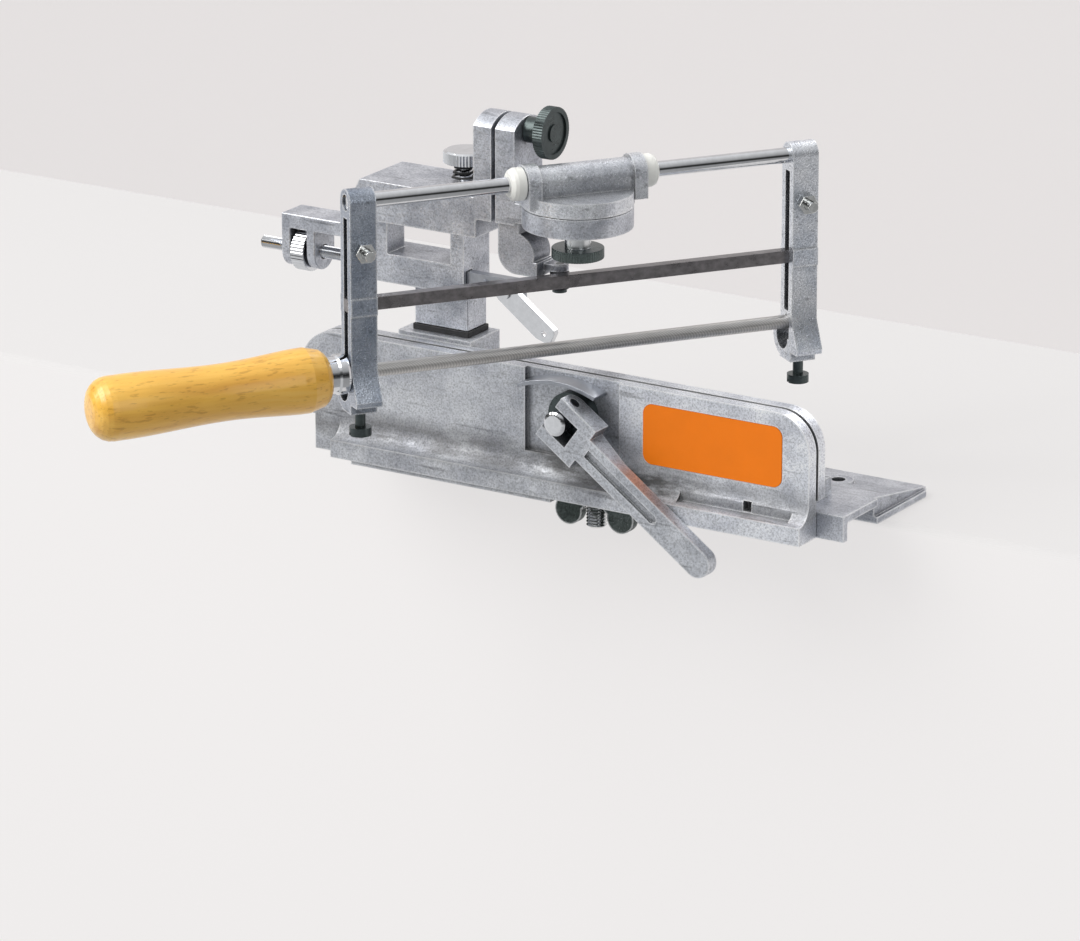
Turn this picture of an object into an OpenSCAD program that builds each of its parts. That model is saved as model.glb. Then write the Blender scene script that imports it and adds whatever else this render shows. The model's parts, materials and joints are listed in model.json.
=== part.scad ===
// Bench chainsaw file guide: a cast rail that holds the chain, an upright with a tooth stop,
// and a swivelling, tilting, sliding frame that carries a round file. Millimetres, +Z up.
// X runs along the rail and Z = 0 is the bench top. Pieces are drawn with Y = 0 in the middle of the
// chain slot, then moved so that the origin is the middle of the row of bench screw holes.

/* [Rail] */
// length of the chain rail
rail_len = 225; // [205:1:240]
// height of the rail's top above the bench
rail_h = 48; // [47:0.5:49]
// thickness of the rail
rail_t = 12; // [11:0.5:13]
// radius of the rail's two rounded top corners
nose_r = 15; // [12:1:17]
// width of the slot that takes the chain's drive links
slot_w = 1.7; // [1.5:0.1:1.8]
// depth of that slot
slot_depth = 9; // [8:0.5:9]
// how far the foot stands in front of the slot's middle
foot_front = 13; // [12:0.5:14]
// height of the foot's fillet on the rail
foot_h = 14; // [13:0.5:14]

/* [Bench plate] */
// length of the bench plate
plate_len = 232; // [224:1:240]
// depth of the bench plate
plate_depth = 68; // [64:1:74]
// height of the plate's flat part
plate_h = 10; // [10:0.5:11]
// wall thickness of the plate
plate_wall = 3; // [2.5:0.1:3.2]
// diameter of the bench screw holes
bench_hole_d = 5.5; // [4.5:0.1:6.5]
// distance between two bench screw holes
bench_hole_step = 64; // [58:1:68]
// diameter of the stud that holds rail and plate together
stud_d = 8; // [7:0.1:8]

/* [Chain clamp] */
// place of the plunger along the rail
plunger_x = 11; // [9:0.5:13]
// height of the plunger
plunger_z = 32.8; // [32:0.1:33]
// diameter of the plunger
plunger_d = 9.4; // [8.8:0.1:9.6]
// length of the lever from the plunger to the middle of its round end
lever_len = 76; // [60:1:90]
// width of the lever
lever_w = 11; // [9:0.5:12]
// slope of the closed lever below the level
lever_fall = 36; // [33:1:40]
// thickness of the lever's arm
lever_t = 5.5; // [4.5:0.1:5.6]

/* [Upright] */
// front face of the upright
yoke_front = 4; // [4:0.1:4.4]
// right face of the upright
yoke_right = -44.6; // [-45.5:0.1:-44]
// height of the arm's underside
arm_z = 96.5; // [96:0.5:97]
// height of the arm
arm_h = 15.7; // [15:0.1:16.5]
// length of the arm
arm_len = 55.2; // [54:0.1:57]
// diameter of the arm's hinge pin
hinge_d = 4; // [3:0.1:4.4]
// diameter of the height screw
height_screw_d = 5; // [4.5:0.1:5.5]
// wire of the height screw's spring
spring_wire = 1; // [0.8:0.05:1.1]

/* [Tooth stop] */
// diameter of the stop's threaded rod
stop_screw_d = 5; // [4:0.1:5.4]
// diameter of the knurled stop wheel
wheel_d = 17; // [15:0.5:17.5]
// height of the stop's sliding bar
slide_h = 6.7; // [6:0.1:6.7]
// thickness of that bar
slide_t = 4; // [3.5:0.1:4.2]
// width of the pawl
pawl_w = 8; // [7:0.5:9]
// thickness of the pawl
pawl_t = 3; // [2.5:0.1:3.2]

/* [Swivel] */
// place of the swivel's axis along the rail
swivel_x = 8.7; // [8.5:0.1:9.2]
// diameter of the two swivel discs
disc_d = 42; // [40:0.5:42.5]
// height of the swivel knob's and tilt knob's thumb wheels across
thumb_d = 20; // [19:0.5:21]
// height of the tilt axis
tilt_z = 139; // [138.5:0.5:141]
// angle between rail and file in the shown setting
file_angle = 54; // [50:1:58]

/* [File frame] */
// height of the round guide rod
rod_z = 123.4; // [123:0.1:124]
// diameter of the guide rod
rod_d = 6; // [5.6:0.1:6.4]
// height of the flat guide bar
bar_z = 84; // [83.8:0.1:84.2]
// thickness of the guide bar
bar_t = 4.4; // [4:0.1:4.6]
// width of the guide bar, upright
bar_h = 5; // [4.5:0.1:5]
// height of the file
file_z = 57.8; // [57.6:0.1:58.2]
// diameter of the round file
file_d = 5.2; // [4:0.1:5.5]
// distance from the frame's middle to each strap
strap_u = 89.4; // [86:0.1:95]
// how far the frame stands along the file in the shown setting
frame_shift = 1.8; // [0:0.1:4]
// width of the strap
strap_w = 10.5; // [9:0.5:12]
// thickness of the strap's metal
strap_t = 3.2; // [2.8:0.1:3.4]
// length of the wooden handle
handle_len = 93; // [88:1:110]
// diameter of the handle's thick ends
handle_d = 25.5; // [23:0.5:28]

/* [Hidden] */
$fn = 64;
// clearance between pieces that move past each other
gap = 0.3;
// radial clearance of a turning fit
fit = 0.05;
rail_half = rail_t / 2;
panel_z = foot_h;
label_right = rail_len / 2 - 15.5;
label_left = label_right - 52;
label_low = 22.7;
label_up = 38.4;
recess_left = -11;
recess_right = 30.5;
recess_y = -rail_half + 2;
plate_right = plate_len / 2 + 8;
plate_left = plate_right - plate_len;
plate_corner = 5;
slope_y = 26;
rear_foot_z = plate_h;
stud_x = 10;
stud_y = 12;
stud_out = 16.5;
stud_thread = 12.5;
hole_y = 46;
hole_xs = [for (i = [-1.5 : 1 : 1.5]) i * bench_hole_step];
hole_top = plate_h - (plate_h - plate_wall) * (hole_y - slope_y) / (plate_depth - slope_y) + 0.7;
// chain clamp
lever_front = -19.5;
cam_r = 4.75;
cam_back = 0.5;
cam_along = 0.6;
cross_y = lever_front + cam_r - cam_back;
collar_y = cross_y + cam_back + cam_r + gap;
notch = plunger_d + 2 * gap;
fork_w = notch + 2 * 4.8;
fork_end = 14.5;
pin_r = 2;
jaw_t = 3;
jaw_half = 18;
jaw_drop = 7;
jaw_y = slot_w / 2 - 0.2;
plunger_end = jaw_y + 0.5;
// upright
boss_z = 50;
seat_z = boss_z + 2.4;
column_x0 = -70;
column_x1 = -46;
column_y0 = 9;
yoke_back = 22.5;
block_z = 68.3;
block_top = 79.7;
yoke_left = -88;
post_top = arm_z - gap;
arm_right = -30.3;
arm_left = arm_right - arm_len;
arm_front = -10;
arm_back = 20;
hinge_x = -80;
hinge_z = arm_z + arm_h / 2;
lug_w = 8;
ear_half = 10;
ear_round = 14;
ear_low = 103.8;
ear_top = tilt_z + 5.4;
ear_side = ear_top - ear_round + sqrt(pow(ear_round, 2) - pow(ear_half, 2));
ear_t = 7;
ear_gap = 1.6;
ear2_left = arm_right + ear_t + ear_gap;
ear2_right = -13;
height_x = -46.5;
height_y = 9;
height_knob_z = arm_z + arm_h + 7.5;
// stop
stop_y = yoke_front + 2 + slide_t / 2;
stop_z = block_z + 6.6;
slide_top = stop_z + 2.3;
slide_low = slide_top - slide_h;
fork_left = -126;
wheel_x = fork_left + 4 + 3.7;
slide_left = yoke_left + 12;
slide_right = -20;
pawl_x = -25.5;
pawl_z = 72.5;
pawl_len = 26.5;
pawl_fall = 37;
pawl_pin_r = 1.5;
pawl_y = stop_y - slide_t / 2 - gap - pawl_t;
// swivel
disc_r = disc_d / 2;
low_disc_z = 104.9;
seam_z = 112.9;
high_disc_z = 118.5;
sleeve_u = 24;
sleeve_r = 6;
sleeve_shift = 1.5;
collar_r = 7.2;
collar_w = 5.3;
bush_r = 4.6;
bush_out = sleeve_u + 5.6;
tilt_neck = 7.4;
swivel_neck = 8;
roller_off = 8;
roller_r = 3.7;
leg_z = bar_z + 0.3;
hook_front = -8;
hook_out = 8;
hook_in = 7.5;
hook_t = 5.7;
lug_z = bar_z + bar_h / 2 - 0.3;
roller_x = swivel_x - roller_off;
roller_top = lug_z - gap;
roller_h = 6.6;
roller_pin_r = 1.5;
// frame
eye_z = file_z - 6.6;
eye_n = 3.6;
eye_r = 5;
clamp_r = 2;
frame_end = strap_u + strap_w / 2;
handle_start = -frame_end - 7.6;
handle_tilt = 1.5;
handle_drop = 0.6;
ferrule_in = 6.3;
ferrule_out = 7.1;
strap_in = bar_t / 2 - 0.3;
strap_out = strap_in + strap_t;
bolt_z = (rod_z + bar_z) / 2 + 1.6;

// box between two corners
module box(a, b) {
    translate(a) cube([b[0] - a[0], b[1] - a[1], b[2] - a[2]]);
}

// cylinder along X from x0 to x1
module rod_x(x0, x1, y, z, r) {
    translate([x0, y, z]) rotate([0, 90, 0]) cylinder(h = x1 - x0, r = r);
}

// cylinder along Y from y0 to y1
module rod_y(y0, y1, x, z, r) {
    translate([x, y0, z]) rotate([-90, 0, 0]) cylinder(h = y1 - y0, r = r);
}

// cylinder along Z from z0 to z1
module rod_z(z0, z1, x, y, r) {
    translate([x, y, z0]) cylinder(h = z1 - z0, r = r);
}

// threaded rod along Z: rings of the given pitch
module ridged(d, h, pitch, depth) {
    n = floor(h / pitch);
    rotate_extrude()
        polygon(concat([[0, 0]],
            [for (i = [0 : n - 1]) each [[d / 2 - depth, i * pitch], [d / 2, (i + 0.5) * pitch]]],
            [[d / 2 - depth, n * pitch], [d / 2 - depth, h], [0, h]]));
}

// straight-knurled wheel along Z
module knurled(d, h, teeth, depth) {
    linear_extrude(height = h)
        polygon([for (i = [0 : 2 * teeth - 1])
            let (a = 180 * i / teeth, r = d / 2 - (i % 2) * depth) [r * cos(a), r * sin(a)]]);
}

// moves a piece drawn about the chain slot to the row of bench holes
module place() {
    translate([0, -hole_y, 0]) children();
}

// directions of the swivel head: u along the file, y across it
module in_head() {
    translate([swivel_x, 0, 0]) rotate([0, 0, file_angle]) children();
}

// directions of the file frame, which slides along u
module in_frame() {
    in_head() translate([frame_shift, 0, 0]) children();
}

// profile of the rail seen from the front, drawn inset by a margin
module rail_outline(inset) {
    r = nose_r - inset;
    x = rail_len / 2 - nose_r;
    top = rail_h - nose_r;
    translate([-x - r, panel_z]) square([2 * x + 2 * r, top - panel_z]);
    translate([-x, panel_z]) square([2 * x, rail_h - inset - panel_z]);
    translate([-x, top]) circle(r = r);
    translate([x, top]) circle(r = r);
}

module front_slab(y0, y1) {
    translate([0, y1, 0]) rotate([90, 0, 0]) linear_extrude(height = y1 - y0) children();
}

module rail() {
    place() color([0.72, 0.73, 0.75]) difference() {
        union() {
            front_slab(-rail_half, rail_half) rail_outline(0);
            // foot in front of the bench edge, with its hollow fillet
            difference() {
                box([-95, -foot_front, 0], [rail_len / 2, -gap, foot_h]);
                rod_x(-96, rail_len / 2 + 1, -foot_front, foot_h, foot_front - rail_half);
            }
            box([-rail_len / 2 + 6, -rail_half, 0], [rail_len / 2, -gap, foot_h + 1]);
            // thin lip below the foot
            box([-86, -foot_front + 0.8, -1.6], [4, -3, 0]);
            // rear foot on the bench plate
            box([-rail_len / 2 + 6, 0, rear_foot_z], [rail_len / 2 - 6, 22, rear_foot_z + 7]);
            // boss that carries the upright
            box([column_x0 - 5, rail_half - 1, rear_foot_z], [column_x1 + 4, yoke_back + 3, boss_z]);
            for (x = [-100, -25, 60, 98])
                box([x, rail_half - 1, rear_foot_z], [x + 5, 16, rear_foot_z + 20]);
        }
        // slot for the drive links, running round both rounded corners
        front_slab(-slot_w / 2, slot_w / 2) difference() {
            rail_outline(-1);
            rail_outline(slot_depth);
        }
        // hollow behind the lever
        box([recess_left, -rail_half - 1, panel_z + 1], [recess_right, recess_y, rail_h + 1]);
        // seat of the plain front plate
        front_slab(-rail_half - 1, -rail_half + 0.5) label_outline(0);
        // groove under the right panel
        box([label_left + 13, -foot_front - 1, 7.2], [label_right + 9, -rail_half - 0.8, 13.4]);
        box([label_right - 12, -rail_half - 1, 7.6], [label_right - 8.5, -rail_half + 3, 11.6]);
        // plunger bore and the jaw's pocket
        rod_y(-rail_half - 1, 2, plunger_x, plunger_z, plunger_d / 2 + fit);
        jaw_space(gap);
        // stud hole
        rod_z(rear_foot_z - 1, rear_foot_z + 8, stud_x, stud_y, stud_d / 2);
    }
}

module label_outline(inset) {
    r = 4 - inset;
    wide = label_right - label_left;
    high = label_up - label_low;
    for (x = [label_left, label_right])
        for (z = [label_low, label_up])
            translate([x, z]) circle(r = r);
    translate([label_left - r, label_low]) square([wide + 2 * r, high]);
    translate([label_left, label_low - r]) square([wide, high + 2 * r]);
}

// plain front plate in place of any marking
module label_plate() {
    place() color([0.9, 0.42, 0.08]) front_slab(-rail_half - 0.2, -rail_half + 0.5) label_outline(0.15);
}

// pocket that the jaw moves in, with room behind it for the release travel
module jaw_space(c) {
    box([plunger_x - jaw_half - c, slot_w / 2 - 0.05, plunger_z - jaw_drop - c],
        [plunger_x + jaw_half + c, rail_half + 1, rail_h - 2.5 + c]);
}

module bench_plate() {
    w = plate_wall;
    r = plate_corner;
    place() color([0.7, 0.71, 0.73]) difference() {
        union() {
            intersection() {
                translate([plate_left, 0, 0]) rotate([90, 0, 90]) linear_extrude(height = plate_len)
                    polygon([[0, 0], [0, plate_h], [slope_y, plate_h], [plate_depth, w],
                        [plate_depth, 0], [slope_y, 0], [slope_y, plate_h - w], [w, plate_h - w], [w, 0]]);
                // rounded rear corners
                translate([0, 0, -1]) linear_extrude(height = plate_h + 2) {
                    translate([plate_left, -1]) square([plate_len, plate_depth + 1 - r]);
                    translate([plate_left + r, -1]) square([plate_len - 2 * r, plate_depth + 1]);
                    for (x = [plate_left + r, plate_right - r])
                        translate([x, plate_depth - r]) circle(r = r);
                }
            }
            for (x = hole_xs)
                rod_z(0, hole_top, x, hole_y, 6);
        }
        for (x = hole_xs)
            rod_z(-1, plate_h + 2, x, hole_y, bench_hole_d / 2);
        // end walls set in above their rims
        for (x = [plate_left, plate_right])
            box([x - 1.6, slope_y, w - 0.4], [x + 1.6, plate_depth + 1, plate_h + 1]);
        rod_z(-1, plate_h + 1, stud_x, stud_y, stud_d / 2 + 0.3);
    }
}

module stud() {
    place() color([0.35, 0.36, 0.36]) {
        rod_z(stud_thread - stud_out, rear_foot_z + 7.6, stud_x, stud_y, stud_d / 2);
        translate([stud_x, stud_y, -stud_out]) ridged(stud_d, stud_thread, 1.25, 0.55);
    }
}

module wing_nut() {
    place() color([0.25, 0.29, 0.28]) difference() {
        union() {
            rod_z(-6, plate_h - plate_wall - gap, stud_x, stud_y, 7);
            for (s = [-1, 1]) {
                rod_y(stud_y - 2, stud_y + 2, stud_x + s * 11.5, -11.5, 5.8);
                translate([stud_x + s * 8.2, stud_y, -6.6]) rotate([0, s * 42, 0])
                    cube([8, 4, 9], center = true);
            }
        }
        rod_z(-stud_out - 4, plate_h, stud_x, stud_y, stud_d / 2 + fit);
    }
}

// directions of the closed lever: along it, then across it
module lever_frame() {
    translate([plunger_x, 0, plunger_z]) rotate([0, lever_fall, 0]) children();
}

module plunger() {
    place() color([0.78, 0.78, 0.8]) difference() {
        union() {
            rod_y(lever_front - 1, plunger_end, plunger_x, plunger_z, plunger_d / 2);
            translate([plunger_x, lever_front - 1, plunger_z]) rotate([90, 0, 0])
                cylinder(h = 0.8, r1 = plunger_d / 2, r2 = plunger_d / 2 - 1.4);
        }
        lever_frame() rod_z(-20, 20, 0, cross_y, pin_r);
    }
}

module clamp_jaw() {
    place() color([0.5, 0.5, 0.52]) union() {
        difference() {
            box([plunger_x - jaw_half, jaw_y, plunger_z - jaw_drop],
                [plunger_x + jaw_half, jaw_y + jaw_t, rail_h - 2.5]);
            // below the slot the jaw stands back from the rail
            box([plunger_x - jaw_half - 1, jaw_y - 1, plunger_z - jaw_drop - 1],
                [plunger_x + jaw_half + 1, slot_w / 2 + 1.4, rail_h - slot_depth + 0.5]);
        }
        rod_y(plunger_end, jaw_y + jaw_t, plunger_x, plunger_z, plunger_d / 2);
    }
}

module cross_pin() {
    place() color([0.75, 0.75, 0.77]) lever_frame() rod_z(-fork_w / 2, fork_w / 2, 0, cross_y, pin_r);
}

module clamp_lever() {
    half = lever_w / 2;
    cam_y = cross_y + cam_back;
    place() color([0.74, 0.75, 0.77]) lever_frame() difference() {
        union() {
            // fork with its two cams
            rod_z(-fork_w / 2, fork_w / 2, cam_along, cam_y, cam_r);
            box([cam_along, lever_front, -fork_w / 2], [fork_end, cam_y + cam_r, fork_w / 2]);
            intersection() {
                box([cam_along - cam_r, lever_front, -fork_w / 2], [2, cam_y, fork_w / 2]);
                rod_z(-fork_w, fork_w, 0, cross_y, 5.8);
            }
            // arm with its round end, thicker towards the fork
            box([fork_end - 1, lever_front, -half], [lever_len, lever_front + lever_t, half]);
            rod_y(lever_front, lever_front + lever_t, lever_len, 0, half);
            translate([fork_end, 0, -half]) linear_extrude(height = lever_w)
                polygon([[-1, lever_front + 1], [-1, cam_y + cam_r - 0.5], [0, cam_y + cam_r - 0.5],
                    [16, lever_front + lever_t - 0.2], [16, lever_front + 1]]);
        }
        box([-10, lever_front - 1, -notch / 2], [8.2, 0, notch / 2]);
        rod_z(-fork_w, fork_w, 0, cross_y, pin_r + fit);
        // groove along the arm
        box([fork_end + 2, lever_front - 1, -1.7], [52, lever_front + 1.3, 1.7]);
        rod_y(lever_front - 1, lever_front + 1.3, 52, 0, 1.7);
    }
}

module thrust_collar() {
    place() color([0.25, 0.26, 0.27]) difference() {
        rod_y(collar_y, recess_y, plunger_x, plunger_z, 9.4);
        rod_y(collar_y - 1, recess_y + 1, plunger_x, plunger_z, plunger_d / 2 + fit);
    }
}

module leaf_spring() {
    inner = 41;
    half_angle = 24;
    place() color([0.55, 0.57, 0.6]) translate([6.6, recess_y, 4.2]) rotate([90, 0, 0])
        rotate([0, 0, 90 - half_angle]) rotate_extrude(angle = 2 * half_angle, $fn = 180)
        translate([inner, 0]) square([1.6, 8.8]);
}

module seat_plate() {
    place() color([0.1, 0.1, 0.11])
        box([column_x0 - 0.6, column_y0 - 0.6, boss_z], [column_x1 + 0.6, yoke_back + 0.6, seat_z]);
}

module column() {
    place() color([0.7, 0.71, 0.72]) {
        box([column_x0, column_y0, seat_z], [column_x1, yoke_back, block_z]);
    }
}

module yoke() {
    place() color([0.66, 0.68, 0.71]) difference() {
        union() {
            box([yoke_left, yoke_front, block_z], [yoke_right, yoke_back, block_top]);
            box([yoke_left, yoke_front, block_top - 1], [-79.3, yoke_front + 12.3, post_top - 0.7]);
            box([yoke_right - 6, yoke_front, block_top - 1], [yoke_right, yoke_back, post_top]);
            // hinge lug inside the arm
            box([hinge_x - lug_w / 2, yoke_front + 1, post_top - 2],
                [hinge_x + lug_w / 2, yoke_front + 11, hinge_z]);
            rod_y(yoke_front + 1, yoke_front + 11, hinge_x, hinge_z, lug_w / 2);
        }
        // channel of the stop's bar
        box([yoke_left - 1, stop_y - slide_t / 2 - gap, block_z - 1],
            [yoke_right + 1, stop_y + slide_t / 2 + gap, slide_top + gap]);
        // way of the stop's screw
        rod_x(yoke_left - 1, slide_left + 4, stop_y, stop_z, stop_screw_d / 2 + gap);
        rod_y(yoke_front, yoke_front + 12, hinge_x, hinge_z, hinge_d / 2 + fit);
    }
}

module stop_fork() {
    top = 90;
    y0 = yoke_front - 3;
    y1 = yoke_front + 11;
    place() color([0.68, 0.69, 0.71]) difference() {
        union() {
            box([fork_left, y0, stop_z + wheel_d / 2 + 0.8], [yoke_left, y1, top]);
            for (x = [fork_left, fork_left + 11.4]) {
                box([x, y0, stop_z], [x + 4, y1, top - 1]);
                rod_x(x, x + 4, (y0 + y1) / 2, stop_z, (y1 - y0) / 2);
            }
            box([yoke_left - 6, y0, block_z + 1], [yoke_left, y1, top]);
        }
        rod_x(fork_left - 1, yoke_left + 1, stop_y, stop_z, stop_screw_d / 2 + gap);
    }
}

module stop_screw() {
    place() color([0.76, 0.77, 0.78]) {
        translate([fork_left - 13, stop_y, stop_z]) rotate([0, 90, 0])
            ridged(stop_screw_d, slide_left - fork_left + 13, 0.8, 0.3);
    }
}

module stop_wheel() {
    place() color([0.8, 0.8, 0.81]) difference() {
        translate([wheel_x - 3, stop_y, stop_z]) rotate([0, 90, 0]) knurled(wheel_d, 6, 40, 0.4);
        rod_x(wheel_x - 4, wheel_x + 4, stop_y, stop_z, stop_screw_d / 2 + fit);
    }
}

module stop_slide() {
    y0 = stop_y - slide_t / 2;
    y1 = stop_y + slide_t / 2;
    place() color([0.32, 0.35, 0.4]) difference() {
        union() {
            box([slide_left, y0, slide_low], [slide_right, y1, slide_top]);
            // tab that carries the pawl
            box([pawl_x - 5, y0, pawl_z - 4], [slide_right, y1, stop_z]);
            rod_y(y0 - 0.9, y1, yoke_right + 8.4, slide_low + slide_h / 2, 1.6);
        }
        rod_y(y0 - 1, y1 + 1, pawl_x, pawl_z, pawl_pin_r);
    }
}

module pawl() {
    half = pawl_w / 2;
    place() color([0.8, 0.81, 0.82]) translate([pawl_x, pawl_y, pawl_z]) rotate([0, pawl_fall, 0])
        difference() {
            union() {
                rod_y(0, pawl_t, 0, 0, half);
                front_slab(0, pawl_t) polygon([[0, -half], [pawl_len - 6, -half], [pawl_len, -half + 2],
                    [pawl_len - 1, half - 1], [pawl_len - 2, half], [0, half]]);
            }
            rod_y(-1, pawl_t + 1, 0, 0, pawl_pin_r + fit);
            rod_y(-1, pawl_t + 1, pawl_len - 4.5, 0, 1.1);
        }
}

module pawl_pin() {
    place() color([0.8, 0.8, 0.82]) {
        rod_y(pawl_y - 1.4, stop_y + slide_t / 2, pawl_x, pawl_z, pawl_pin_r);
        rod_y(pawl_y - 1.4, pawl_y - gap, pawl_x, pawl_z, 2.4);
    }
}

// upright ear of the tilt joint with its arched top
module ear(x0, x1) {
    box([x0, -ear_half, ear_low], [x1, ear_half, ear_side]);
    intersection() {
        box([x0, -ear_half, ear_side - 2], [x1, ear_half, ear_top + 1]);
        rod_x(x0 - 1, x1 + 1, 0, ear_top - ear_round, ear_round);
    }
}

module arm() {
    place() color([0.66, 0.68, 0.71]) difference() {
        union() {
            // block with a slanted left end
            front_slab(arm_front, arm_back) polygon([[arm_left, arm_z], [arm_right, arm_z],
                [arm_right, arm_z + arm_h], [arm_left + 3, arm_z + arm_h], [arm_left, arm_z + arm_h - 6]]);
            ear(arm_right - 1, arm_right + ear_t);
        }
        // space for the hinge lug
        box([hinge_x - lug_w / 2 - 1, yoke_front + 1 - gap, arm_z - 1],
            [hinge_x + lug_w / 2 + 1, yoke_front + 11 + gap, hinge_z + lug_w / 2 + 0.4]);
        rod_y(arm_front - 1, arm_back + 1, hinge_x, hinge_z, hinge_d / 2);
        rod_z(arm_z - 1, arm_z + arm_h + 1, height_x, height_y, height_screw_d / 2 + fit);
        rod_x(arm_right - 2, arm_right + ear_t + 1, 0, tilt_z, 3 + fit);
    }
}

module hinge_pin() {
    place() color([0.6, 0.6, 0.62]) rod_y(arm_front + 0.5, arm_back - 0.5, hinge_x, hinge_z, hinge_d / 2);
}

module height_stem() {
    place() color([0.75, 0.75, 0.76])
        rod_z(arm_z, height_knob_z + 3, height_x, height_y, height_screw_d / 2);
}

module height_knob() {
    place() color([0.8, 0.8, 0.8]) translate([height_x, height_y, height_knob_z]) difference() {
        union() {
            knurled(17.4, 4.2, 44, 0.35);
            translate([0, 0, 4.2]) cylinder(h = 0.6, r1 = 8.3, r2 = 7.6);
        }
        translate([0, 0, -1]) cylinder(h = 4 + fit, r = height_screw_d / 2 + fit);
    }
}

// conical wire spring between the arm and the knob: one unbroken tube
spring_z0 = arm_z + arm_h + spring_wire / 2 + 0.02;
spring_z1 = height_knob_z - spring_wire / 2 - gap;
spring_turns = 3.25;
spring_rings = 8 * spring_turns;
spring_r0 = 5.6;
spring_r1 = 3.9;
spring_pitch = (spring_z1 - spring_z0) / spring_turns;
spring_lean = (spring_r0 - spring_r1) / spring_turns;
echo(spring_self_gap = sqrt(pow(spring_pitch, 2) + pow(spring_lean, 2)) - spring_wire);
function spring_at(t) = let (a = 360 * spring_turns * t, r = spring_r0 + (spring_r1 - spring_r0) * t)
    [r * cos(a), r * sin(a), spring_z0 + (spring_z1 - spring_z0) * t];
function spring_ring(i) = let (t = i / spring_rings, a = 360 * spring_turns * t, c = spring_at(t))
    [for (k = [0 : 5]) let (b = 60 * k, s = spring_wire / 2 * cos(b))
        [c[0] + s * cos(a), c[1] + s * sin(a), c[2] + spring_wire / 2 * sin(b)]];

module height_spring() {
    n = spring_rings;
    points = [for (i = [0 : n]) each spring_ring(i)];
    sides = [for (i = [0 : n - 1]) for (k = [0 : 5]) let (a = 6 * i + k, b = 6 * i + (k + 1) % 6)
        each [[a, b, b + 6], [a, b + 6, a + 6]]];
    start = [for (k = [1 : 4]) [0, k + 1, k]];
    end = [for (k = [1 : 4]) [6 * n, 6 * n + k, 6 * n + k + 1]];
    place() color([0.2, 0.2, 0.2]) translate([height_x, height_y, 0])
        polyhedron(points = points, faces = concat(sides, start, end));
}

module tilt_bracket() {
    leg_right = -12.4;
    place() color([0.7, 0.71, 0.73]) difference() {
        union() {
            ear(ear2_left, ear2_right);
            rod_z(low_disc_z, seam_z - gap, swivel_x, 0, disc_r);
            box([ear2_right - 1, -ear_half, low_disc_z], [swivel_x, ear_half, seam_z - gap]);
            // hook with the roller's lug
            box([ear2_left, hook_front, leg_z + hook_out], [leg_right, 4, low_disc_z + 1]);
            box([ear2_left + hook_out, hook_front, leg_z], [-4.4, 4, leg_z + hook_t]);
            rod_y(hook_front, 4, ear2_left + hook_out, leg_z + hook_out, hook_out);
            difference() {
                box([leg_right - 1, hook_front, leg_z + hook_t - 0.7],
                    [leg_right + hook_in, 4, leg_z + hook_t + hook_in]);
                rod_y(hook_front - 1, 5, leg_right + hook_in, leg_z + hook_t + hook_in, hook_in);
            }
            box([-7, -3.4, lug_z], [roller_x, 3.4, lug_z + 2.8]);
            rod_z(lug_z, lug_z + 2.8, roller_x, 0, 3.4);
        }
        rod_x(ear2_left - 1, ear2_right + 1, 0, tilt_z, 3 + fit);
        rod_z(low_disc_z - 1, seam_z + 1, swivel_x, 0, 3 + fit);
        rod_z(lug_z - 1, lug_z + 4, roller_x, 0, roller_pin_r);
    }
}

// thumb screw along Z, wheel at z = 0 to 4, neck above it, thread above the neck
module thumb_screw(neck, thread) {
    difference() {
        union() {
            knurled(thumb_d, 4, 60, 0.2);
            translate([0, 0, 3.9]) cylinder(h = neck + 0.1, r = 5);
            translate([0, 0, 3.9 + neck]) cylinder(h = thread + 0.1, r = 3);
        }
        translate([0, 0, -1]) cylinder(h = 1.7, r = 8);
    }
    translate([0, 0, 0.1]) cylinder(h = 1, r = 3.4);
}

module tilt_knob() {
    place() color([0.16, 0.19, 0.19]) translate([ear2_right + gap + tilt_neck + 4, 0, tilt_z]) rotate([0, -90, 0])
        thumb_screw(tilt_neck, ear2_right - ear2_left + ear_gap + ear_t - 1);
}

module swivel_knob() {
    place() color([0.16, 0.19, 0.19]) translate([swivel_x, 0, low_disc_z - gap - swivel_neck - 4])
        thumb_screw(swivel_neck, seam_z - low_disc_z + gap + 4);
}

module guide_roller() {
    place() color([0.08, 0.08, 0.09]) difference() {
        rod_z(roller_top - roller_h, roller_top, roller_x, 0, roller_r);
        rod_z(roller_top - roller_h - 1, roller_top + 1, roller_x, 0, roller_pin_r + fit);
    }
}

module roller_pin() {
    place() color([0.4, 0.4, 0.42]) {
        rod_z(roller_top - roller_h - 1, lug_z + 2.8, roller_x, 0, roller_pin_r);
        rod_z(roller_top - roller_h - 1.3, roller_top - roller_h - gap, roller_x, 0, 2.8);
    }
}

module rod_u(u0, u1, y, z, r) {
    translate([u0, y, z]) rotate([0, 90, 0]) cylinder(h = u1 - u0, r = r);
}

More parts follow.
